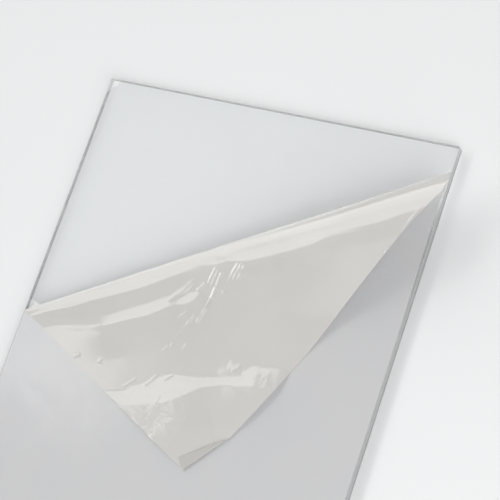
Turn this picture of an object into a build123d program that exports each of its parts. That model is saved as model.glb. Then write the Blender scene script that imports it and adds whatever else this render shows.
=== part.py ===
"""Clear acrylic sheet, cut to size, with its protective film peeled part of the way back.

Two pieces: the plate, lying flat with its underside on z = 0, and the film, which still
clings to the near part of the upper face. From the far left corner the film has been
lifted, rolled over in a loop that widens to the right, and laid down on itself.
Millimetres throughout, +Z up, the length of the plate along Y.
"""
import os
from math import asin, atan2, cos, hypot, pi, radians, sin, tan

from build123d import *

# Plate
sheet_width = 200.0
sheet_length = 300.0
sheet_thickness = 5.0
corner_radius = 1.0
arris = 0.3

# Film
film_thickness = 0.1
film_inset = 0.5
flap_gap = 0.2

# Peel: how far below the far edge the loop stands at the two sides of the plate
peel_left = 135.6
peel_right = 33.2

# Loop, at the right side of the plate unless said otherwise
loop_radius_left = 0.6
loop_radius = 10.4
bend_radius = 5.0
bend_angle = 45.0
crest_radius = 27.0
lift_height = 2.7
lift_run = 60.0
landing_run = 69.5
lift_easing = 15.0
landing_easing = 22.0
gather = 4.0

half_width = sheet_width / 2
far_edge = sheet_length / 2

# The loop is a cone: its rulings, and the lines where the film leaves the plate and
# lands again, all run out from one point beyond the left side.
left_end = Vector(-half_width, far_edge - peel_left)
right_end = Vector(half_width, far_edge - peel_right)
along = (right_end - left_end).normalized()
across = Vector(-along.Y, along.X)
reach = (right_end - left_end).length * loop_radius / (loop_radius - loop_radius_left)
cone_point = right_end - along * reach


def plate():
    """The plate, with eased corners and a fine arris on both faces."""
    body = Box(sheet_width, sheet_length, sheet_thickness,
               align=(Align.CENTER, Align.CENTER, Align.MIN))
    body = fillet(body.edges().filter_by(Axis.Z), corner_radius)
    rims = body.edges().group_by(Axis.Z)
    return chamfer(rims[0] + rims[-1], arris)


def arc(centre, radius, start, end, steps=3):
    """Joints round an arc, by heading, in steps short enough to stay light in facets."""
    s, z = centre
    headings = [start + (end - start) * i / steps for i in range(steps + 1)]
    return [(s + radius * sin(a), z - radius * cos(a), a) for a in headings]


def joints(scale):
    """Points and headings along the middle of the film, in a plane square to the loop.

    The first list runs from the plate up to the crown of the loop, where the film stands
    upright. The second goes on round a tighter bend, over a broad crest and down to the
    flap lying flat.
    """
    low = film_thickness / 2
    high = low + film_thickness + flap_gap
    radius, bend, crest = loop_radius * scale, bend_radius * scale, crest_radius * scale
    turn = pi / 2 + radians(bend_angle)
    height = low + lift_height * scale + radius
    crest_s = radius - bend + (bend - crest) * sin(turn)
    crest_z = height - (bend - crest) * cos(turn)
    run, land = lift_run * scale, landing_run * scale
    rise = atan2(height - low, run) - asin(radius / hypot(run, height - low))
    fall = (atan2(crest_z - high, land + crest_s)
            + asin(crest / hypot(land + crest_s, crest_z - high)))
    ease_in, ease_out = lift_easing * scale, landing_easing * scale
    lower = [
        (-run - 2 * ease_in, low, 0.0),
        (-run - ease_in, low, 0.0),
        (-run + ease_in * cos(rise), low + ease_in * sin(rise), rise),
        *arc((0.0, height), radius, rise, pi / 2),
    ]
    upper = [
        *arc((radius - bend, height), bend, pi / 2, turn),
        *arc((crest_s, crest_z), crest, turn, pi + fall)[1:],
        (-land + ease_out * cos(fall), high + ease_out * sin(fall), pi + fall),
        (-land - ease_out, high, pi),
        (-landing_run - peel_left, high, pi),
    ]
    return lower, upper


def strand(points, offset=0.0):
    """The edges through a list of joints, moved sideways by an offset."""
    moved = [(s - offset * sin(a), z + offset * cos(a), a) for s, z, a in points]
    edges = []
    for (s0, z0, a0), (s1, z1, a1) in zip(moved, moved[1:]):
        if abs(a1 - a0) < 1e-9:
            edges.append(Line((s0, z0), (s1, z1)))
        else:
            edges.append(TangentArc((s0, z0), (s1, z1), tangent=(cos(a0), sin(a0))))
    return edges


def section(points, scale):
    """The cut face of the film at a given distance along the loop."""
    half = film_thickness / 2
    outer, inner = strand(points, -half), strand(points, half)
    ends = [Line(outer[0] @ 0, inner[0] @ 0), Line(outer[-1] @ 1, inner[-1] @ 1)]
    place = Plane(origin=cone_point + along * (reach * scale) + Vector(0, 0, sheet_thickness),
                  x_dir=across, z_dir=along)
    return place * make_face(outer + inner + ends)


def loop_half(which):
    """The lower or the upper half of the loop, longer at both ends than the film."""
    near, far = 0.03, 1.25
    return loft([section(joints(near)[which], near), section(joints(far)[which], far)],
                ruled=True)


def rolled():
    """Directions from the cone's point to the middle of the film, with the angle that
    each has on the film laid out flat; also the angle of the crown."""
    lower, upper = joints(1.0)
    first = Wire(strand(lower[1:]))
    second = Wire(strand(upper[:-1]))
    spots = [first @ (i / 60) for i in range(61)] + [second @ (i / 90) for i in range(1, 91)]
    rays = [Vector(reach, p.X, p.Y) for p in spots]
    angles = [atan2(rays[0].Y, rays[0].X)]
    for a, b in zip(rays, rays[1:]):
        angles.append(angles[-1] + atan2(a.cross(b).length, a.dot(b)))
    return rays, angles, angles[60]


rays, angles, crown_angle = rolled()


def landed(x, y):
    """Where a point of the flat film comes to lie, seen from above."""
    spot = Vector(x, y) - cone_point
    angle = atan2(spot.dot(across), spot.dot(along))
    used = min(max((angle - crown_angle) / (angles[-1] - crown_angle), 0.0), 1.0)
    angle -= used * gather / reach
    if angle >= angles[-1]:
        turn = atan2(rays[-1].Y, rays[-1].X) - (angle - angles[-1])
        return cone_point + (along * cos(turn) + across * sin(turn)) * spot.length
    if angle <= angles[0]:
        return Vector(x, y)
    i = max(n for n, value in enumerate(angles) if value <= angle)
    part = (angle - angles[i]) / (angles[i + 1] - angles[i])
    ray = (rays[i] * (1 - part) + rays[i + 1] * part).normalized() * spot.length
    return cone_point + along * ray.X + across * ray.Y


def crossing(x, angle):
    """Height y at which a ruling of the flat film crosses a side of the plate."""
    lean = atan2(along.Y, along.X) + angle
    return cone_point.Y + (x - cone_point.X) * tan(lean)


def curve(start, end, count):
    """Evenly spaced points of a straight film edge as it lies after the peel."""
    (x0, y0), (x1, y1) = start, end
    return [landed(x0 + (x1 - x0) * i / count, y0 + (y1 - y0) * i / count)
            for i in range(count + 1)]


def prism(corners):
    """An upright block over an outline."""
    outline = make_face(Polyline(*[(p.X, p.Y) for p in corners], close=True))
    return extrude(Pos(0, 0, -1) * outline, sheet_length)


def film():
    """The film, one piece from the near edge round the loop to the tip of the flap."""
    side = half_width - film_inset
    front, back = -far_edge + film_inset, far_edge - film_inset
    start = atan2(-lift_run - 2 * lift_easing, reach)
    crown_left = crossing(-side, crown_angle)
    crown_right = crossing(side, crown_angle)
    start_left, start_right = crossing(-side, start), crossing(side, start)
    clinging = make_face(Polyline((-side, front), (side, front), (side, start_right),
                                  (-side, start_left), close=True))
    clinging = extrude(Pos(0, 0, sheet_thickness) * clinging, film_thickness)

    # Both halves end square at the crown, on the same two short lines
    step = across * film_thickness
    right = landed(side, crown_right)
    left = landed(-side, crown_left)
    right_crown, left_crown = [right - step, right + step], [left + step, left - step]
    below = prism(curve((side, start_right), (side, crown_right), 8)[:-1] + right_crown
                  + left_crown + curve((-side, crown_left), (-side, start_left), 6)[1:])
    above = prism(left_crown + curve((-side, crown_left), (-side, back), 12)[1:]
                  + curve((-side, back), (side, back), 24)[1:]
                  + curve((side, back), (side, crown_right), 8)[1:-1] + right_crown)
    return clinging + (loop_half(0) & below) + (loop_half(1) & above)


pieces = {"acrylic_sheet": plate(), "protective_film": film()}

os.makedirs("parts", exist_ok=True)
for name, piece in pieces.items():
    export_step(piece, f"parts/{name}.step")
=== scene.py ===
"""Looks for a clear acrylic sheet whose protective film is peeled part of the way back.

The plate is clear between sawn, frosted edges. The film clings to its near part, rolls over
in a loop that widens to the right and lies face down on itself, with the creases and soft
waves that a thin film keeps. Sizes are in millimetres on the plate until a mesh is made.
"""
from __future__ import annotations

import logging
import math
from bisect import bisect_right
from dataclasses import dataclass, field
from enum import Enum
from functools import cached_property

import bmesh
import bpy
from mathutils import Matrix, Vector

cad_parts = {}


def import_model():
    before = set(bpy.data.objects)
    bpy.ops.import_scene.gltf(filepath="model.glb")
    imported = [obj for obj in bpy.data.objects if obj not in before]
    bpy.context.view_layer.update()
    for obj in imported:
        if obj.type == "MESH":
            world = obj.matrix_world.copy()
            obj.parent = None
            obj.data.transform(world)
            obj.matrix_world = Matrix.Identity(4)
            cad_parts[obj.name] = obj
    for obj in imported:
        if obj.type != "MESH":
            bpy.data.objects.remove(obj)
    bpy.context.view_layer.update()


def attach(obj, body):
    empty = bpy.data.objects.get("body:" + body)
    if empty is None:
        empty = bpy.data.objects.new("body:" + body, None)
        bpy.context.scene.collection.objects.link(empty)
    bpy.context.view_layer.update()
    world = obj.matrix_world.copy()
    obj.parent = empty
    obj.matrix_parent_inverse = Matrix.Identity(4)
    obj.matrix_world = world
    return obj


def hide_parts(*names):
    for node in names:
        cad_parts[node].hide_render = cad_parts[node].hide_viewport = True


LOG = logging.getLogger("acrylic_sheet")
MM = 0.001
# A Mix node's colour inputs share their names with its number inputs, so they go by place
COLOR_A, COLOR_B = 6, 7


class FilmSide(Enum):
    """The two faces of the film, by their place in the piece's list of materials."""

    OUTER = 0
    ADHESIVE = 1


class PlateFace(Enum):
    """The two finishes of the plate, by their place in the piece's list of materials."""

    POLISHED = 0
    SAWN = 1


def smooth(value: float) -> float:
    """Ease a share from 0 to 1, held level outside that range.

    Args:
        value: the share before easing.

    Returns:
        The eased share.
    """
    value = min(max(value, 0.0), 1.0)
    return value * value * (3.0 - 2.0 * value)


def ramp(value: float, start: float, end: float) -> float:
    """Ease from 0 where a value stands at the start to 1 where it stands at the end."""
    return smooth((value - start) / (end - start))


# ---------------------------------------------------------------- shader nodes


class Nodes:
    """A short way to add and link nodes in a material or a node group."""

    def __init__(self, tree: bpy.types.NodeTree) -> None:
        """Keep the tree that nodes are added to."""
        self.tree = tree

    def add(self, kind: str, values: dict | None = None, **settings: object) -> bpy.types.Node:
        """Add a node, with its settings, and set or link its inputs.

        Args:
            kind: the node's type, without the ShaderNode in front.
            values: a plain value or a socket for each named or numbered input.
            settings: properties of the node itself.

        Returns:
            The new node.
        """
        node = self.tree.nodes.new("ShaderNode" + kind)
        for name, value in settings.items():
            setattr(node, name, value)
        for name, value in (values or {}).items():
            if isinstance(value, bpy.types.NodeSocket):
                self.tree.links.new(value, node.inputs[name])
            else:
                node.inputs[name].default_value = value
        return node

    def math(self, operation: str, *values: object) -> bpy.types.NodeSocket:
        """Add a Math node and return its value."""
        return self.add("Math", dict(enumerate(values)), operation=operation).outputs[0]

    def noise(self, place: bpy.types.NodeSocket, scale: float, detail: float,
              roughness: float = 0.5, distortion: float = 0.0) -> bpy.types.NodeSocket:
        """Add a Noise Texture and return its value."""
        return self.add("TexNoise", {"Vector": place, "Scale": scale, "Detail": detail,
                                     "Roughness": roughness, "Distortion": distortion}
                        ).outputs["Fac"]

    def mix(self, share: bpy.types.NodeSocket, one: object, two: object
            ) -> bpy.types.NodeSocket:
        """Add a Mix node from one colour to another and return its colour."""
        return self.add("Mix", {"Factor": share, COLOR_A: one, COLOR_B: two},
                        data_type="RGBA").outputs[2]

    def group(self, name: str, values: dict) -> bpy.types.Node:
        """Place a node group that has already been made, with its inputs."""
        return self.add("Group", values, node_tree=bpy.data.node_groups[name])


def new_group(name: str, inputs: dict[str, tuple[str, object]], outputs: dict[str, str]
              ) -> tuple[Nodes, bpy.types.Node, bpy.types.Node]:
    """Start a shader node group with named sockets.

    Args:
        name: the group's name.
        inputs: for each input, its kind of socket and its usual value.
        outputs: for each output, its kind of socket.

    Returns:
        The group's nodes, its input node and its output node.
    """
    tree = bpy.data.node_groups.new(name, "ShaderNodeTree")
    for key, (kind, value) in inputs.items():
        socket = tree.interface.new_socket(key, in_out="INPUT", socket_type=kind)
        if value is not None:
            socket.default_value = value
    for key, kind in outputs.items():
        tree.interface.new_socket(key, in_out="OUTPUT", socket_type=kind)
    return Nodes(tree), tree.nodes.new("NodeGroupInput"), tree.nodes.new("NodeGroupOutput")


def make_film_surface_group() -> None:
    """Make the group for what both faces share: waves, draw lines, mottle and painted fold shade.
    """
    nodes, given, out = new_group(
        "film_surface",
        {"Place": ("NodeSocketVector", None), "Waves": ("NodeSocketFloat", 1.0),
         "Lines": ("NodeSocketFloat", 1.0), "Crumple": ("NodeSocketFloat", 0.0),
         "Gloss": ("NodeSocketFloat", 0.12),
         "Tone": ("NodeSocketColor", (0.6, 0.6, 0.6, 1.0)),
         "Cloudy Tone": ("NodeSocketColor", (0.6, 0.6, 0.6, 1.0)),
         "Painted Fold Shade Tone": ("NodeSocketColor", (0.5, 0.5, 0.5, 1.0)),
         "Painted Fold Shade": ("NodeSocketFloat", 0.0)},
        {"Height": "NodeSocketFloat", "Roughness": "NodeSocketFloat",
         "Color": "NodeSocketColor"})
    place = given.outputs["Place"]
    broad = nodes.noise(place, scale=38.0, detail=2.0, roughness=0.45, distortion=0.4)
    fine = nodes.noise(place, scale=210.0, detail=3.0, roughness=0.55)
    crushed = nodes.noise(place, scale=95.0, detail=4.0, distortion=0.8)
    cloud = nodes.noise(place, scale=26.0, detail=4.0, roughness=0.6)
    drawn = nodes.add("Mapping", {"Vector": place, "Scale": (14.0, 900.0, 1.0)})
    lines = nodes.noise(drawn.outputs[0], scale=1.0, detail=2.0, roughness=0.6)

    fine_share, line_height, rough_spread = 0.05, 0.004, 0.06
    height = nodes.math("MULTIPLY", nodes.math("MULTIPLY_ADD", fine, fine_share, broad),
                        given.outputs["Waves"])
    for marks, amount in ((nodes.math("MULTIPLY", lines, line_height), "Lines"),
                          (crushed, "Crumple")):
        height = nodes.math("MULTIPLY_ADD", marks, given.outputs[amount], height)
    rough = nodes.math("MULTIPLY_ADD", nodes.math("SUBTRACT", fine, 0.5), rough_spread,
                       given.outputs["Gloss"])
    cloudy = nodes.add("MapRange", {"Value": cloud, "From Min": 0.38, "From Max": 0.66})
    tone = nodes.mix(cloudy.outputs[0], given.outputs["Tone"], given.outputs["Cloudy Tone"])
    # painted shade: the folded-over tip takes a darker tone
    tone = nodes.mix(given.outputs["Painted Fold Shade"], tone, given.outputs["Painted Fold Shade Tone"])
    for name, value in (("Height", height), ("Roughness", rough), ("Color", tone)):
        nodes.tree.links.new(value, out.inputs[name])


# ---------------------------------------------------------------- finishes


def new_material(name: str) -> tuple[bpy.types.Material, Nodes, bpy.types.Node]:
    """Start a material that is drawn with nodes.

    Args:
        name: the material's name.

    Returns:
        The material, its nodes and its Principled shader.
    """
    material = bpy.data.materials.new(name)
    material.use_nodes = True
    return material, Nodes(material.node_tree), material.node_tree.nodes["Principled BSDF"]


def let_lamps_through(nodes: Nodes, shader: bpy.types.Node, share: float) -> None:
    """Let a share of the lamps' light through to what lies below, so shadows stay light."""
    shadow = nodes.add("LightPath").outputs["Is Shadow Ray"]
    nodes.tree.links.new(nodes.math("MULTIPLY_ADD", shadow, -share, 1.0),
                         shader.inputs["Alpha"])


@dataclass(frozen=True)
class FilmFinish:
    """A face of the thin white polyethylene film: soft gloss over a milky body."""

    name: str
    tone: tuple[float, float, float]
    cloudy_tone: tuple[float, float, float]
    gloss: float
    waves: float
    lines: float
    # painted shade: a darker tone for the folded-over tip
    painted_fold_shade_tone: tuple[float, float, float] = (0.523, 0.518, 0.490)
    crumple: float = 1.1
    lamp_share: float = 0.65

    def material(self) -> bpy.types.Material:
        """Build the film's material, patterned along the film as it was laid out flat.

        Returns:
            The new material.
        """
        material, nodes, shader = new_material(self.name)
        # the crumple share, and the mask of the folded-over tip that gets painted shade
        crumple, painted_fold_shade = (nodes.add("Attribute", attribute_name=name).outputs["Fac"]
                            for name in ("crumple", "painted_fold_shade"))
        surface = nodes.group("film_surface", {
            "Place": nodes.add("UVMap", uv_map="film").outputs[0], "Waves": self.waves,
            "Lines": self.lines, "Gloss": self.gloss,
            "Crumple": nodes.math("MULTIPLY", crumple, self.crumple),
            "Tone": (*self.tone, 1.0), "Cloudy Tone": (*self.cloudy_tone, 1.0),
            "Painted Fold Shade Tone": (*self.painted_fold_shade_tone, 1.0), "Painted Fold Shade": painted_fold_shade})
        bump = nodes.add("Bump", {"Height": surface.outputs["Height"], "Distance": MM})
        for socket, value in (("Base Color", surface.outputs["Color"]),
                              ("Roughness", surface.outputs["Roughness"]),
                              ("Normal", bump.outputs[0])):
            nodes.tree.links.new(value, shader.inputs[socket])
        shader.inputs["IOR"].default_value = 1.5
        let_lamps_through(nodes, shader, self.lamp_share)
        return material


@dataclass(frozen=True)
class AcrylicFinish:
    """Clear acrylic, polished on its faces or sawn and frosted on its edges.

    The saw's depth, and the height and half-widths of the painted shade band low on the edge,
    are in millimetres. Where the depth is 0, the acrylic is polished.
    """

    name: str
    tint: tuple[float, float, float]
    roughness: float
    transmission: float
    saw_depth: float = 0.0
    saw_spread: float = 0.3
    # a band of painted shade low on the sawn edge: its height, half-widths, share and darkness
    painted_shade_line: float = 1.4
    painted_shade_line_edge: tuple[float, float] = (0.3, 0.6)
    painted_shade_line_share: float = 0.75
    painted_shade_line_shade: float = 0.55
    lamp_share: float = 0.6

    def material(self) -> bpy.types.Material:
        """Build the acrylic's material.

        Returns:
            The new material.
        """
        material, nodes, shader = new_material(self.name)
        for socket, value in (("Base Color", (*self.tint, 1.0)), ("IOR", 1.49),
                              ("Transmission Weight", self.transmission)):
            shader.inputs[socket].default_value = value
        let_lamps_through(nodes, shader, self.lamp_share)
        place = nodes.add("TexCoord").outputs["Object"]
        if self.saw_depth:
            self.saw(nodes, shader, place)
        else:
            haze = nodes.noise(place, scale=30.0, detail=4.0)
            spread = nodes.add("MapRange", {"Value": haze, "From Min": 0.45, "From Max": 0.75,
                                            "To Max": self.roughness})
            nodes.tree.links.new(spread.outputs[0], shader.inputs["Roughness"])
        return material

    def saw(self, nodes: Nodes, shader: bpy.types.Node, place: bpy.types.NodeSocket) -> None:
        """Add upright saw marks, and a darker band painted low on the edge as shade.

        Args:
            nodes: the material's nodes.
            shader: the material's shader.
            place: the place on the plate.
        """
        stretched = nodes.add("Mapping", {"Vector": place, "Scale": (1.0, 1.0, 0.12)})
        marks = nodes.noise(stretched.outputs[0], scale=1400.0, detail=3.0, roughness=0.6)
        bump = nodes.add("Bump", {"Height": marks, "Distance": self.saw_depth * MM})
        rough = nodes.math("MULTIPLY_ADD", marks, self.saw_spread,
                           self.roughness - self.saw_spread / 2)
        height = nodes.add("SeparateXYZ", {"Vector": place}).outputs["Z"]
        # painted shade: a darker band low on the sawn edge, where its lower part lies in shade
        off = nodes.math("ABSOLUTE", nodes.math("SUBTRACT", height, self.painted_shade_line * MM))
        inner, outer = self.painted_shade_line_edge
        line = nodes.add("MapRange", {"Value": off, "From Min": inner * MM,
                                      "From Max": outer * MM,
                                      "To Min": self.painted_shade_line_share, "To Max": 0.0})
        tone = nodes.mix(line.outputs[0], (*self.tint, 1.0),
                         (*(self.painted_shade_line_shade * part for part in self.tint), 1.0))
        for socket, value in (("Normal", bump.outputs[0]), ("Roughness", rough),
                              ("Base Color", tone)):
            nodes.tree.links.new(value, shader.inputs[socket])


@dataclass(frozen=True)
class FloorFinish:
    """Plain pale floor."""

    color: tuple[float, float, float] = (0.86, 0.865, 0.87)

    def material(self) -> bpy.types.Material:
        """Build the floor's matt material.

        Returns:
            The new material.
        """
        material, _, shader = new_material("pale_floor")
        for socket, value in (("Base Color", (*self.color, 1.0)), ("Roughness", 0.9),
                              ("Specular IOR Level", 0.1)):
            shader.inputs[socket].default_value = value
        return material


# ---------------------------------------------------------------- the roll of the film


@dataclass
class Roll:
    """The cone that the peeled film rolls round.

    Its rulings, and the lines where the film leaves the plate and lands again, all run out
    from one point beyond the plate's left side. Heights count from the plate's upper face.
    """

    half_width: float
    far_edge: float
    thickness: float
    clearance: float = 0.02
    peel_left: float = 135.6
    peel_right: float = 33.2
    radius_left: float = 0.6
    radius: float = 10.4
    bend_radius: float = 5.0
    bend_heading: float = math.radians(135.0)
    crest_radius: float = 27.0
    lift_height: float = 2.3
    lift_run: float = 60.0
    landing_run: float = 69.5
    lift_easing: float = 15.0
    landing_easing: float = 22.0
    gather: float = 4.0
    flap_gap: float = 0.12
    slump: float = 0.5
    slump_from: float = 0.85
    slump_to: float = 0.45
    slump_shift: Vector = field(default_factory=lambda: Vector((-0.489, 0.316)))
    steps: int = 24

    def __post_init__(self) -> None:
        """Work out the cone's point and its two directions on the plate."""
        left = Vector((-self.half_width, self.far_edge - self.peel_left))
        right = Vector((self.half_width, self.far_edge - self.peel_right))
        self.along = (right - left).normalized()
        self.across = Vector((-self.along.y, self.along.x))
        self.reach = (right - left).length * self.radius / (self.radius - self.radius_left)
        self.point = right - self.along * self.reach

    @property
    def low(self) -> float:
        """Height of the film's middle where it clings to the plate."""
        return self.clearance + self.thickness / 2

    @property
    def high(self) -> float:
        """Height of the film's middle where the flap lies on the film below."""
        return self.low + self.thickness + self.flap_gap

    def section(self) -> list[tuple[float, float, float]]:
        """Joints of the film in a cut square to the loop, at full reach.

        Returns:
            Distance beyond the peel line, height and heading of each joint.
        """
        radius, bend, crest, turn = (self.radius, self.bend_radius, self.crest_radius,
                                     self.bend_heading)
        centre = self.lift_height + radius
        rise = (math.atan2(centre, self.lift_run)
                - math.asin(radius / math.hypot(self.lift_run, centre)))
        crest_s = radius - bend + (bend - crest) * math.sin(turn)
        crest_z = centre - (bend - crest) * math.cos(turn)
        run = self.landing_run + crest_s
        fall = math.atan2(crest_z, run) + math.asin(crest / math.hypot(run, crest_z))
        ease_in, ease_out = self.lift_easing, self.landing_easing
        return [
            (-self.lift_run - ease_in, 0.0, 0.0),
            (-self.lift_run + ease_in * math.cos(rise), ease_in * math.sin(rise), rise),
            (radius * math.sin(rise), centre - radius * math.cos(rise), rise),
            (radius, centre, math.pi / 2),
            (radius - bend + bend * math.sin(turn), centre - bend * math.cos(turn), turn),
            (crest_s - crest * math.sin(fall), crest_z + crest * math.cos(fall),
             math.pi + fall),
            (-self.landing_run + ease_out * math.cos(fall), ease_out * math.sin(fall),
             math.pi + fall),
            (-self.landing_run - ease_out, 0.0, math.pi),
        ]

    @cached_property
    def rays(self) -> tuple[list[Vector], list[float], float]:
        """Directions from the cone's point to the section, with their angles laid flat.

        Returns:
            The unit directions (along, across, up), their angles on the flat film, and the
            angle of the loop's crown.
        """
        spots: list[Vector] = []
        crown = 0
        joints = self.section()
        for (s0, z0, a0), (s1, z1, a1) in zip(joints, joints[1:]):
            for i in range(1 if spots else 0, self.steps + 1):
                share = i / self.steps
                if abs(a1 - a0) < 1e-9:
                    spot = (s0 + (s1 - s0) * share, z0 + (z1 - z0) * share)
                else:
                    bend = math.hypot(s1 - s0, z1 - z0) / (2 * math.sin((a1 - a0) / 2))
                    heading = a0 + (a1 - a0) * share
                    spot = (s0 + bend * (math.sin(heading) - math.sin(a0)),
                            z0 + bend * (math.cos(a0) - math.cos(heading)))
                spots.append(Vector((self.reach, *spot)).normalized())
            if a1 == math.pi / 2:
                crown = len(spots) - 1
        angles = [math.atan2(spots[0].y, spots[0].x)]
        for one, two in zip(spots, spots[1:]):
            angles.append(angles[-1] + one.angle(two))
        return spots, angles, angles[crown]

    def flat(self, distance: float, angle: float) -> tuple[float, float]:
        """Place on the flat film of a point at a distance and angle from the cone's point."""
        spot = self.point + (self.along * math.cos(angle)
                             + self.across * math.sin(angle)) * distance
        return spot.x, spot.y

    def polar(self, x: float, y: float) -> tuple[float, float]:
        """Distance and angle from the cone's point of a place on the flat film."""
        spot = Vector((x, y)) - self.point
        return spot.length, math.atan2(spot.dot(self.across), spot.dot(self.along))

    def turned(self, x: float, y: float) -> float:
        """Share of the way over, from 0 before the loop's crown to 1 once landed.

        Args:
            x: place across the flat film.
            y: place along the flat film.

        Returns:
            The share, held at 0 and 1 outside the return of the loop.
        """
        _, angles, crown = self.rays
        _, angle = self.polar(x, y)
        return min(max((angle - crown) / (angles[-1] - crown), 0.0), 1.0)

    def place(self, x: float, y: float) -> Vector:
        """Where a point of the flat film comes to lie once the film is peeled.

        Args:
            x: place across the flat film.
            y: place along the flat film.

        Returns:
            The point, with its height above the plate's upper face.
        """
        spots, angles, _ = self.rays
        distance, angle = self.polar(x, y)
        turned = self.turned(x, y)
        angle -= turned * self.gather / self.reach
        if angle <= angles[0]:
            return Vector((x, y, self.low))
        if angle >= angles[-1]:
            turn = math.atan2(spots[-1].y, spots[-1].x) - (angle - angles[-1])
            ray = Vector((math.cos(turn) * distance, math.sin(turn) * distance, 0.0))
        else:
            i = bisect_right(angles, angle) - 1
            share = (angle - angles[i]) / (angles[i + 1] - angles[i])
            ray = spots[i].lerp(spots[i + 1], share).normalized() * distance
        slumped = self.slump * ramp(distance / self.reach, self.slump_from, self.slump_to)
        spot = (self.point + self.along * ray.x + self.across * ray.y
                + self.slump_shift * (ray.z * slumped))
        level = self.low + (self.high - self.low) * turned
        return Vector((spot.x, spot.y, level + ray.z * (1.0 - slumped)))


@dataclass(frozen=True)
class Crease:
    """A fold line left in the film, from one place on the flat film to another.

    It tapers over a share of its length at both ends, and starts a little way up.
    """

    start: tuple[float, float]
    end: tuple[float, float]
    height: float
    width: float
    taper: float = 1 / 6
    tip: float = 0.1

    def rise(self, x: float, y: float) -> float:
        """Height that the crease adds at a place on the flat film.

        Args:
            x: place across the flat film.
            y: place along the flat film.

        Returns:
            The height, which is 0 beyond the crease's width.
        """
        (x0, y0), (x1, y1), reach = self.start, self.end, self.width
        if not (min(x0, x1) - reach < x < max(x0, x1) + reach
                and min(y0, y1) - reach < y < max(y0, y1) + reach):
            return 0.0
        start, end, spot = Vector(self.start), Vector(self.end), Vector((x, y))
        run = end - start
        share = min(max((spot - start).dot(run) / run.length_squared, 0.0), 1.0)
        away = (spot - start - run * share).length / reach
        full = smooth(min(share, 1.0 - share) / self.taper + self.tip)
        return self.height * full * max(1.0 - away, 0.0)


@dataclass(frozen=True)
class Ledge:
    """A soft ridge in the film along a line of places on the flat film.

    Each place has its x and y, the width over which the film climbs to the line from the
    right of it, and the height there. Left of the line the film sinks back more slowly.
    """

    line: tuple[tuple[float, float, float, float], ...]
    fade: float
    power: float = 1.0

    @cached_property
    def limits(self) -> tuple[float, float, float, float]:
        """Least and greatest x, and least and greatest y, that the ledge can reach."""
        reach = max(self.fade, *(width for _, _, width, _ in self.line))
        across, along = ([spot[axis] for spot in self.line] for axis in (0, 1))
        return (min(across) - reach, max(across) + reach,
                min(along) - reach, max(along) + reach)

    def rise(self, x: float, y: float) -> float:
        """Height that the ledge adds at a place on the flat film.

        Args:
            x: place across the flat film.
            y: place along the flat film.

        Returns:
            The height, which is 0 before the climb and far behind the line.
        """
        left, right, near, far = self.limits
        if not (left < x < right and near < y < far):
            return 0.0
        spot = Vector((x, y))
        nearest, beyond, width, height = math.inf, 0.0, 1.0, 0.0
        for one, two in zip(self.line, self.line[1:]):
            start, run = Vector(one[:2]), Vector(two[:2]) - Vector(one[:2])
            held = min(max((spot - start).dot(run) / run.length_squared, 0.0), 1.0)
            away = (spot - start - run * held).length
            if away < nearest:
                nearest = away
                beyond = math.copysign(away, run.cross(spot - start))
                width, height = Vector(one[2:]).lerp(Vector(two[2:]), held)
        if beyond > 0.0:
            return height * (1.0 - smooth(beyond / self.fade))
        return height * max(1.0 + beyond / width, 0.0) ** self.power


@dataclass(frozen=True)
class Drift:
    """A shift of part of the flap on the plate, eased in over the flat film both ways."""

    shift: tuple[float, float]
    across: tuple[float, float]
    along: tuple[float, float]

    def at(self, x: float, y: float) -> Vector:
        """Shift at a place on the flat film."""
        return Vector((*self.shift, 0.0)) * ramp(x, *self.across) * ramp(y, *self.along)


@dataclass(frozen=True)
class Tug:
    """A shift of the film on the plate round one place on the flat film."""

    shift: tuple[float, float]
    place: tuple[float, float]
    reach: float

    def at(self, x: float, y: float) -> Vector:
        """Shift at a place on the flat film."""
        away = math.hypot(x - self.place[0], y - self.place[1])
        return Vector((*self.shift, 0.0)) * ramp(away, self.reach, 0.0)


# ---------------------------------------------------------------- pieces


def add_piece(name: str, bm: bmesh.types.BMesh) -> bpy.types.Object:
    """Turn a finished bmesh into an object at the origin.

    Args:
        name: the piece's name.
        bm: the bmesh, which is freed.

    Returns:
        The new object, linked to the scene.
    """
    mesh = bpy.data.meshes.new(name)
    bm.to_mesh(mesh)
    bm.free()
    piece = bpy.data.objects.new(name, mesh)
    bpy.context.scene.collection.objects.link(piece)
    return piece


@dataclass
class Plate:
    """The clear plate, with sawn edges, eased corners and a fine arris."""

    width: float = 200.0
    length: float = 300.0
    thickness: float = 5.0
    corner: float = 1.0
    arris: float = 0.3
    polished: AcrylicFinish = AcrylicFinish("polished_acrylic", (0.975, 0.985, 0.985), 0.03, 1.0)
    sawn: AcrylicFinish = AcrylicFinish("sawn_acrylic", (0.60, 0.61, 0.61), 0.45, 0.3, 0.15)

    def build(self) -> bpy.types.Object:
        """Model the plate from a cube, bevelled at its corners and then round its rims.

        Returns:
            The plate's object.
        """
        bm = bmesh.new()
        bmesh.ops.create_cube(bm, size=1.0)
        bmesh.ops.scale(bm, verts=bm.verts,
                        vec=Vector((self.width, self.length, self.thickness)) * MM)
        bmesh.ops.translate(bm, verts=bm.verts, vec=(0.0, 0.0, self.thickness / 2 * MM))
        for level, offset, segments in ((False, self.corner, 5), (True, self.arris, 2)):
            edges = [edge for edge in bm.edges
                     if (abs(edge.verts[0].co.z - edge.verts[1].co.z) < 1e-7) is level]
            bmesh.ops.bevel(bm, geom=edges, offset=offset * MM, offset_type="OFFSET",
                            affect="EDGES", segments=segments, profile=0.5, material=-1)
        bm.normal_update()
        for face in bm.faces:
            level = abs(face.normal.z) > 0.99
            face.material_index = (PlateFace.POLISHED if level else PlateFace.SAWN).value
        return add_piece("acrylic_plate", bm)

    def dress(self, piece: bpy.types.Object) -> None:
        """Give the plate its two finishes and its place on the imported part.

        Args:
            piece: the plate's object.
        """
        for finish in (self.polished, self.sawn):
            piece.data.materials.append(finish.material())
        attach(piece, "root")
        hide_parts("acrylic_sheet")


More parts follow.
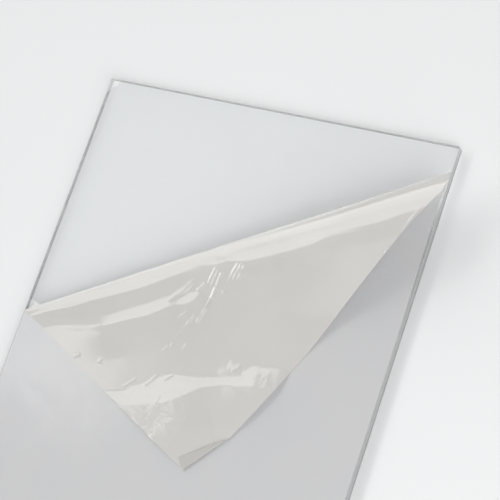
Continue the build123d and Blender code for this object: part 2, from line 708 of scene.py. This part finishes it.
@dataclass
class ProtectiveFilm:
    """The film, from the near edge of the plate round the loop to the tip of the flap."""

    plate: Plate
    thickness: float = 0.1
    inset: float = 0.5
    # the grid, as angles and distances about the cone's point: where each band of rows
    # ends, with its count of rows, and how far the columns reach
    rows: tuple[tuple[float, int], ...] = ((-0.36, 26), (-0.02, 16), (0.17, 38), (1.04, 138))
    first_row: float = -2.0
    columns: int = 162
    nearest: float = 9.5
    farthest: float = 264.0
    # how far from a crease, the fold and a ledge the grid is made finer
    crease_margin: float = 0.5
    fold_margin: float = 2.5
    ledge_margin: float = 0.7
    ledge_width: float = 3.5
    # share of the way over the loop by which creases and ledges have their full height
    full_lift: float = 1 / 6
    sharp_angle: float = math.radians(60.0)
    creases: tuple[Crease, ...] = (
        # where the film was pinched, a fan of creases runs out from the fold
        Crease((-12.5, 86.3), (-24.0, 88.7), 0.22, 1.0),
        Crease((-12.2, 88.2), (-23.5, 90.6), 0.22, 1.0),
        Crease((-12.0, 90.1), (-22.0, 93.3), 0.26, 1.2),
        Crease((-20.0, 92.5), (-28.0, 94.3), 0.38, 1.5),
        Crease((-26.0, 93.9), (-43.2, 95.7), 0.35, 1.0),
        Crease((-2.8, 94.0), (-15.5, 96.0), 0.18, 0.9),
        Crease((-1.8, 95.7), (-13.5, 97.7), 0.17, 0.85),
        Crease((-1.5, 97.4), (-11.5, 99.4), 0.16, 0.85),
        Crease((-2.5, 99.1), (-8.5, 100.4), 0.14, 0.8),
        Crease((-22.8, 87.3), (-29.2, 86.0), 0.34, 1.2),
        Crease((-41.0, 88.3), (-47.0, 86.3), 0.34, 1.1),
        Crease((-39.4, 92.6), (-45.5, 91.9), 0.29, 0.85),
        Crease((-44.5, 91.9), (-54.6, 92.2), 0.24, 0.85),
        Crease((-53.7, 98.2), (-57.3, 99.4), 0.17, 0.85),
        Crease((-57.9, 92.6), (-61.0, 93.4), 0.16, 0.8),
        Crease((-60.0, 91.9), (-64.8, 91.7), 0.16, 0.8),
        Crease((-19.6, 97.0), (-21.6, 97.7), 0.23, 1.0),
        # nicks near the left edge of the flap and at its raised end
        Crease((-98.5, 56.6), (-95.0, 58.5), 0.23, 1.3),
        Crease((-91.8, 69.6), (-88.7, 69.4), 0.20, 1.1),
        Crease((-98.7, 116.0), (-99.0, 133.0), 0.24, 0.9),
        Crease((-91.5, 89.0), (-83.0, 91.2), 0.20, 1.0),
        Crease((-84.0, 97.0), (-75.0, 98.4), 0.18, 1.2),
        Crease((-75.0, 102.5), (-69.0, 104.5), 0.14, 1.1),
        Crease((-48.2, 126.0), (-42.6, 127.9), 0.28, 1.3),
        Crease((-49.5, 124.0), (-46.5, 124.6), 0.24, 1.1),
        # folds along the far edge of the flap
        Crease((77.0, 148.0), (62.0, 149.2), 0.34, 0.85),
        Crease((53.0, 149.0), (47.0, 149.3), 0.45, 0.9),
    )
    # crumpled spots: their place on the flat film, their reach and their share
    crumples: tuple[tuple[float, float, float, float], ...] = (
        (-90.0, 108.0, 18.0, 0.9), (-84.0, 118.0, 18.0, 1.0), (-94.0, 122.0, 15.0, 0.9),
        (-47.0, 127.0, 9.0, 1.0), (-42.0, 136.0, 13.5, 0.7), (-14.0, 90.0, 12.0, 0.12),
        (-26.0, 92.0, 9.0, 0.1), (-8.0, 95.0, 12.0, 0.1), (12.0, 106.0, 21.0, 0.35),
        (88.0, 88.0, 21.0, 0.6))
    fold_start: tuple[float, float] = (-69.0, 149.5)
    fold_end: tuple[float, float] = (-99.5, 142.2)
    fold_radius: float = 0.5
    fold_turn: float = math.radians(177.0)
    # the flap's end and its tip were laid down a little askew
    drifts: tuple[Drift, ...] = (
        Drift((1.512, -0.784), across=(40.0, -20.0), along=(60.0, 140.0)),
        Drift((0.472, 0.922), across=(-40.0, -100.0), along=(60.0, 130.0)))
    # so was the far corner, and the crown beside it
    tugs: tuple[Tug, ...] = (Tug((-4.1, -2.4), (99.5, 149.5), 13.0),
                             Tug((2.2, 1.2), (99.5, 133.0), 16.0))
    ledges: tuple[Ledge, ...] = (
        # the brow of the loop, which ends its bright band
        Ledge(((-99.5, 22.0, 5.0, 0.6), (-89.0, 29.5, 6.0, 0.9), (-81.0, 36.5, 6.0, 0.9),
               (-71.0, 43.5, 6.0, 0.9), (-56.0, 55.0, 6.0, 0.8), (-45.5, 62.5, 6.0, 0.75),
               (-34.5, 69.0, 6.0, 0.65), (-21.5, 76.5, 6.0, 0.6), (-17.0, 78.0, 5.0, 0.5),
               (-12.0, 85.0, 7.0, 0.7), (-7.0, 88.0, 8.0, 0.9), (0.5, 97.5, 9.0, 1.1),
               (12.5, 107.0, 8.0, 0.9), (28.0, 118.0, 7.0, 0.5), (38.0, 121.5, 6.0, 0.3),
               (57.5, 136.5, 6.0, 0.3), (77.0, 147.5, 6.0, 0.3)), 9.0, 2.0),
        # the long streak that forks
        Ledge(((-95.0, 44.0, 8.0, 0.0), (-83.0, 52.3, 8.0, 0.4), (-77.5, 56.2, 7.0, 0.6),
               (-75.0, 58.4, 5.0, 0.95), (-71.5, 61.0, 4.9, 1.35), (-68.7, 62.9, 5.0, 1.6),
               (-64.2, 66.4, 5.3, 1.8), (-59.8, 70.0, 5.7, 1.98),
               (-55.1, 73.4, 5.7, 1.98), (-49.9, 76.3, 5.6, 1.93), (-44.6, 79.2, 5.2, 1.8),
               (-41.3, 82.2, 3.4, 1.2), (-38.6, 84.9, 4.0, 1.4), (-36.0, 86.3, 4.6, 1.6),
               (-33.0, 87.5, 4.4, 1.45), (-30.1, 87.6, 2.2, 0.7), (-28.0, 87.6, 1.5, 0.0)), 20.0),
        Ledge(((-42.6, 76.5, 0.8, 0.15), (-39.7, 78.3, 2.2, 0.7), (-36.6, 79.6, 2.6, 0.85),
               (-33.2, 80.4, 2.6, 0.85), (-29.2, 80.9, 2.2, 0.7), (-26.0, 81.3, 1.3, 0.3)), 2.0),
        # the step up to the raised end of the flap
        Ledge(((-99.8, 86.0, 2.4, 0.38), (-97.6, 96.1, 9.3, 1.4), (-90.2, 103.7, 10.7, 1.7),
               (-82.3, 110.6, 13.4, 2.2), (-78.6, 112.9, 13.4, 2.2), (-73.8, 115.5, 11.5, 1.95),
               (-69.0, 118.2, 9.3, 1.6), (-64.0, 120.6, 6.1, 1.1), (-59.8, 123.8, 4.8, 0.95),
               (-56.1, 127.5, 4.6, 0.97), (-52.8, 131.6, 5.6, 1.2), (-49.0, 135.2, 7.6, 1.65),
               (-45.9, 139.4, 10.3, 2.15), (-43.5, 144.4, 11.3, 2.3), (-39.1, 149.0, 10.8, 2.1)),
              46.0),
        Ledge(((-99.5, 106.0, 8.0, 0.5), (-98.7, 118.4, 14.0, 0.9), (-91.6, 126.2, 16.0, 1.0),
               (-85.3, 125.8, 16.0, 0.9), (-78.9, 123.8, 12.0, 0.6), (-70.9, 121.1, 8.0, 0.0)),
              18.0),
    )
    outer: FilmFinish = FilmFinish("film_outer", (0.604, 0.604, 0.607), (0.592, 0.595, 0.610),
                                   0.13, 0.20, 1.0)
    adhesive: FilmFinish = FilmFinish("film_adhesive_side", (0.632, 0.618, 0.588),
                                      (0.610, 0.596, 0.572), 0.10, 0.12, 0.5)

    @cached_property
    def roll(self) -> Roll:
        """The roll that the film takes on this plate."""
        return Roll(self.plate.width / 2, self.plate.length / 2, self.thickness)

    @property
    def side(self) -> float:
        """Half the film's width."""
        return self.plate.width / 2 - self.inset

    @property
    def end(self) -> float:
        """Half the film's length."""
        return self.plate.length / 2 - self.inset

    def angle_of_row(self, share: float) -> float:
        """Angle on the flat film of a row of the grid.

        Args:
            share: the row's place in the grid, from 0 to 1.

        Returns:
            The angle about the cone's point.
        """
        left = share * sum(count for _, count in self.rows)
        start = self.first_row
        for end, count in self.rows:
            if left <= count:
                return start + (end - start) * left / count
            left -= count
            start = end
        return start

    def cut_flat(self) -> bmesh.types.BMesh:
        """Cut the film flat, as a fan of rows about the cone's point trimmed to the edges.

        Returns:
            The flat film, in metres.
        """
        bm = bmesh.new()
        bmesh.ops.create_grid(bm, x_segments=sum(count for _, count in self.rows),
                              y_segments=self.columns, size=0.5)
        for vert in bm.verts:
            angle = self.angle_of_row(vert.co.x + 0.5)
            distance = self.nearest + (self.farthest - self.nearest) * (vert.co.y + 0.5)
            x, y = self.roll.flat(distance, angle)
            vert.co = Vector((x, y, 0.0)) * MM
        for normal, reach in (((1, 0, 0), self.side), ((-1, 0, 0), self.side),
                              ((0, 1, 0), self.end), ((0, -1, 0), self.end)):
            bmesh.ops.bisect_plane(bm, geom=bm.verts[:] + bm.edges[:] + bm.faces[:],
                                   dist=1e-7, plane_co=Vector(normal) * reach * MM,
                                   plane_no=normal, clear_outer=True)
        bmesh.ops.remove_doubles(bm, verts=bm.verts, dist=2e-6)
        bmesh.ops.recalc_face_normals(bm, faces=bm.faces)
        bm.normal_update()
        if sum(face.normal.z for face in bm.faces) < 0:
            bmesh.ops.reverse_faces(bm, faces=bm.faces)
        return bm

    def refine(self, bm: bmesh.types.BMesh) -> None:
        """Halve the faces along ledges, and halve them again along creases and the fold.

        Args:
            bm: the flat film.
        """
        creased = [Crease(crease.start, crease.end, 1.0, crease.width + self.crease_margin)
                   for crease in self.creases]
        creased.append(Crease(self.fold_start, self.fold_end, 1.0, self.fold_margin))
        ledged = [Crease(one[:2], two[:2], 1.0,
                         min(one[2], self.ledge_width) + self.ledge_margin)
                  for ledge in self.ledges for one, two in zip(ledge.line, ledge.line[1:])]
        for near in (creased + ledged, creased):
            # a dict keeps the edges in the same order on every run
            edges: dict[bmesh.types.BMEdge, None] = {}
            for face in bm.faces:
                x, y, _ = face.calc_center_median() / MM
                if any(line.rise(x, y) > 0.0 for line in near):
                    edges.update(dict.fromkeys(face.edges))
            bmesh.ops.subdivide_edges(bm, edges=list(edges), cuts=1, use_grid_fill=True)

    def lift(self, x: float, y: float) -> float:
        """Height that creases and ledges add to the flap.

        Args:
            x: place across the flat film.
            y: place along the flat film.

        Returns:
            The added height.
        """
        turned = self.roll.turned(x, y)
        if turned <= 0.0:
            return 0.0
        return (ramp(turned, 0.0, self.full_lift)
                * sum(mark.rise(x, y) for mark in self.creases + self.ledges))

    def crumpled(self, x: float, y: float) -> float:
        """How crumpled the film is at a place on it, from 0 to 1."""
        return max(share * ramp(math.hypot(x - x0, y - y0), reach, 0.0)
                   for x0, y0, reach, share in self.crumples)

    def past_fold(self, x: float, y: float) -> float:
        """Distance of a place on the flat film beyond the fold across the flap's tip."""
        start, end = Vector(self.fold_start), Vector(self.fold_end)
        return -(end - start).normalized().cross(Vector((x, y)) - start)

    def folded(self, x: float, y: float) -> Vector:
        """Shift of the flap's tip, which is folded over beyond a line across its corner.

        Args:
            x: place across the flat film.
            y: place along the flat film.

        Returns:
            The shift on the plate and upwards.
        """
        beyond = self.past_fold(x, y)
        if beyond <= 0.0:
            return Vector((0.0, 0.0, 0.0))
        one, two = self.roll.place(*self.fold_start).xy, self.roll.place(*self.fold_end).xy
        along = (two - one).normalized()
        turn = min(beyond / self.fold_radius, self.fold_turn)
        rest = beyond - self.fold_radius * turn
        back = beyond - self.fold_radius * math.sin(turn) - rest * math.cos(turn)
        away = Vector((-along.y, along.x)) * back
        return Vector((-away.x, -away.y, self.fold_radius * (1.0 - math.cos(turn))
                       + rest * math.sin(turn)))

    def strayed(self, x: float, y: float) -> Vector:
        """Shift on the plate of the flap's end and far corner, laid down a little askew.

        Args:
            x: place across the flat film.
            y: place along the flat film.

        Returns:
            The shift on the plate.
        """
        turned = self.roll.turned(x, y) ** 2
        return (sum((drift.at(x, y) for drift in self.drifts), Vector((0.0, 0.0, 0.0))) * turned
                + sum((tug.at(x, y) for tug in self.tugs), Vector((0.0, 0.0, 0.0))))

    def spot(self, x: float, y: float) -> Vector:
        """Where a point of the flat film lies at last.

        Args:
            x: place across the flat film.
            y: place along the flat film.

        Returns:
            The point, in millimetres.
        """
        place = self.roll.place(x, y) + self.folded(x, y) + self.strayed(x, y)
        lift = self.lift(x, y)
        place.z += self.plate.thickness + lift
        place.xy -= self.roll.slump_shift * lift
        return place

    def build(self) -> bpy.types.Object:
        """Model the film: cut flat, refined, peeled into place and given its thickness.

        Returns:
            The film's object.
        """
        bm = self.cut_flat()
        self.refine(bm)
        layer = bm.loops.layers.uv.new("film")
        crumple = bm.verts.layers.float.new("crumple")
        painted_fold_shade = bm.verts.layers.float.new("painted_fold_shade")
        for face in bm.faces:
            face.smooth = True
            for loop in face.loops:
                loop[layer].uv = loop.vert.co.xy
        for vert in bm.verts:
            x, y, _ = vert.co / MM
            vert[crumple] = self.crumpled(x, y)
            # mask of the folded-over tip, where a darker tone is painted as shade
            vert[painted_fold_shade] = smooth(self.past_fold(x, y))
            vert.co = self.spot(x, y) * MM
        piece = add_piece("film", bm)
        skin = piece.modifiers.new("thickness", "SOLIDIFY")
        skin.thickness = self.thickness * MM
        skin.offset = 0.0
        skin.material_offset = FilmSide.ADHESIVE.value
        return piece

    def dress(self, piece: bpy.types.Object) -> None:
        """Args:
            piece: the film's object, whose thickness is still a modifier.
        """
        for finish in (self.outer, self.adhesive):
            piece.data.materials.append(finish.material())
        shown = piece.evaluated_get(bpy.context.evaluated_depsgraph_get())
        flat = piece.data
        piece.data = bpy.data.meshes.new_from_object(shown)
        piece.modifiers.clear()
        bpy.data.meshes.remove(flat)
        piece.data.name = "film"
        piece.data.set_sharp_from_angle(angle=self.sharp_angle)
        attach(piece, "root")
        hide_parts("protective_film")


# ---------------------------------------------------------------- studio


@dataclass(frozen=True)
class Softbox:
    """A soft rectangular lamp, hung in a direction from the plate and facing it.

    Its bearing is counted from the plate's right side towards its far end, in degrees.
    """

    name: str
    bearing: float
    elevation: float
    size: tuple[float, float]
    radiance: float
    distance: float = 1.3

    def hang(self, target: Vector) -> None:
        """Hang the lamp.

        Args:
            target: the point that it faces.
        """
        turn, rise = math.radians(self.bearing), math.radians(self.elevation)
        away = Vector((math.cos(rise) * math.cos(turn), math.cos(rise) * math.sin(turn),
                       math.sin(rise)))
        lamp = bpy.data.lights.new(self.name, "AREA")
        lamp.shape = "RECTANGLE"
        lamp.size, lamp.size_y = self.size
        lamp.energy = self.radiance * math.pi * self.size[0] * self.size[1]
        softbox = bpy.data.objects.new(self.name, lamp)
        softbox.location = target + away * self.distance
        softbox.rotation_euler = away.to_track_quat("Z", "Y").to_euler()
        bpy.context.scene.collection.objects.link(softbox)


@dataclass
class Studio:
    """Pale floor, soft lamps and the camera."""

    floor: FloorFinish = FloorFinish()
    fill: float = 0.25
    softboxes: tuple[Softbox, ...] = (
        Softbox("key_softbox", 143.0, 42.5, (3.1, 1.54), 3.05, 4.0),
        Softbox("low_softbox", 136.0, 16.5, (2.0, 2.07), 3.3, 4.0),
        Softbox("side_softbox", 193.0, 40.0, (2.3, 0.6), 7.5, 4.0),
        Softbox("left_softbox", 168.4, 56.5, (0.25, 0.63), 3.2, 4.0),
        Softbox("front_softbox", 275.0, 50.0, (1.0, 0.8), 0.7),
        Softbox("right_softbox", 325.0, 36.0, (1.3, 1.3), 3.0, 1.6),
    )
    target: tuple[float, float, float] = (0.0, 0.03, 0.005)
    camera_place: tuple[float, float, float] = (0.3533, -0.1048, 0.7355)
    camera_turn: tuple[float, float, float] = (20.2027, 19.619, 19.9137)
    lens: float = 118.8
    sensor: float = 36.0
    floor_size: float = 8.0
    floor_drop: float = 0.0003

    def lay_floor(self) -> None:
        """Lay a wide pale floor just under the plate."""
        bm = bmesh.new()
        bmesh.ops.create_grid(bm, x_segments=1, y_segments=1, size=self.floor_size / 2)
        bmesh.ops.translate(bm, verts=bm.verts, vec=(0.0, 0.0, -self.floor_drop))
        floor = add_piece("floor", bm)
        floor.data.materials.append(self.floor.material())

    def light(self) -> None:
        """Set an even fill and hang the softboxes."""
        world = bpy.data.worlds.new("studio")
        world.use_nodes = True
        back = world.node_tree.nodes["Background"]
        back.inputs["Color"].default_value = (1.0, 1.0, 1.0, 1.0)
        back.inputs["Strength"].default_value = self.fill
        bpy.context.scene.world = world
        for softbox in self.softboxes:
            softbox.hang(Vector(self.target))

    def aim_camera(self) -> None:
        """Set up the camera where the photo was taken from."""
        lens = bpy.data.cameras.new("camera")
        lens.sensor_width = self.sensor
        lens.lens = self.lens
        lens.clip_start = 0.01
        camera = bpy.data.objects.new("camera", lens)
        camera.location = self.camera_place
        camera.rotation_euler = [math.radians(turn) for turn in self.camera_turn]
        bpy.context.scene.collection.objects.link(camera)
        bpy.context.scene.camera = camera

    def build(self) -> None:
        """Build the whole studio."""
        self.lay_floor()
        self.light()
        self.aim_camera()
        bpy.context.scene.view_settings.view_transform = "Standard"


def main() -> None:
    """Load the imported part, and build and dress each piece."""
    logging.basicConfig(level=logging.INFO, format="%(name)s: %(message)s")
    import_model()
    make_film_surface_group()
    plate = Plate()
    for part in (plate, ProtectiveFilm(plate)):
        piece = part.build()
        part.dress(piece)
        LOG.info("%s: %d faces", piece.name, len(piece.data.polygons))
    Studio().build()


if __name__ == "__main__":
    main()
